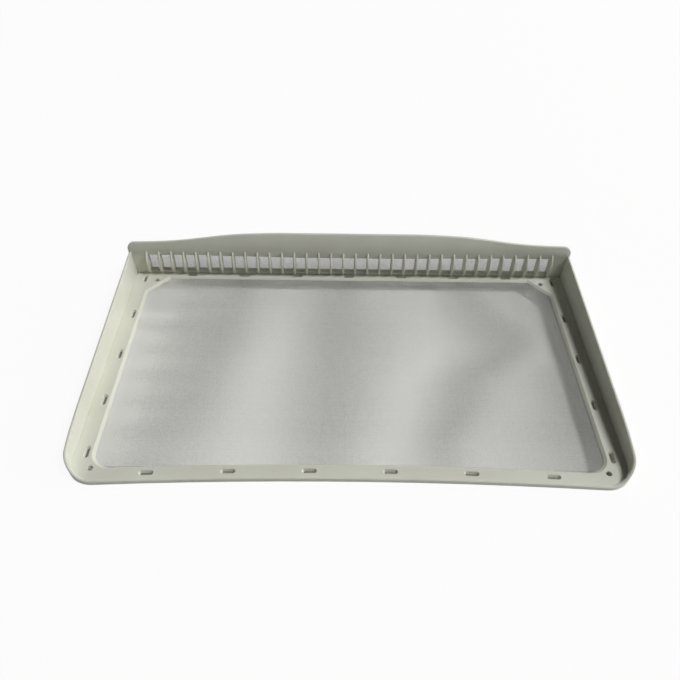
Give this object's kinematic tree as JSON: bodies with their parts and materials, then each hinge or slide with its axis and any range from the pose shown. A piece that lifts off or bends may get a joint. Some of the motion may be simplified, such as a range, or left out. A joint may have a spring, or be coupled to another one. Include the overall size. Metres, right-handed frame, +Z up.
{
  "type": "tumble dryer lint filter",
  "caption": "Shallow tray-shaped lint filter: a moulded frame round a woven floor screen, with a ribbed, meshed rear wall that rises into a finger grip.",
  "frame": {"origin": "middle of the part's box in plan, on the flat underside", "axes": "+X along the width, +Y from the front lip to the rear wall with the grip, +Z up from the underside"},
  "size_m": [0.4142, 0.2432, 0.0452],
  "materials": {
    "frame_plastic": "satin moulded, off-white with a grey-green cast",
    "screen_mesh": "fine satin monofilament weave"
  },
  "bodies": {
    "root": {"frame": "frame_plastic", "floor_screen": "screen_mesh", "grille_screen": "screen_mesh"}
  },
  "joints": []
}
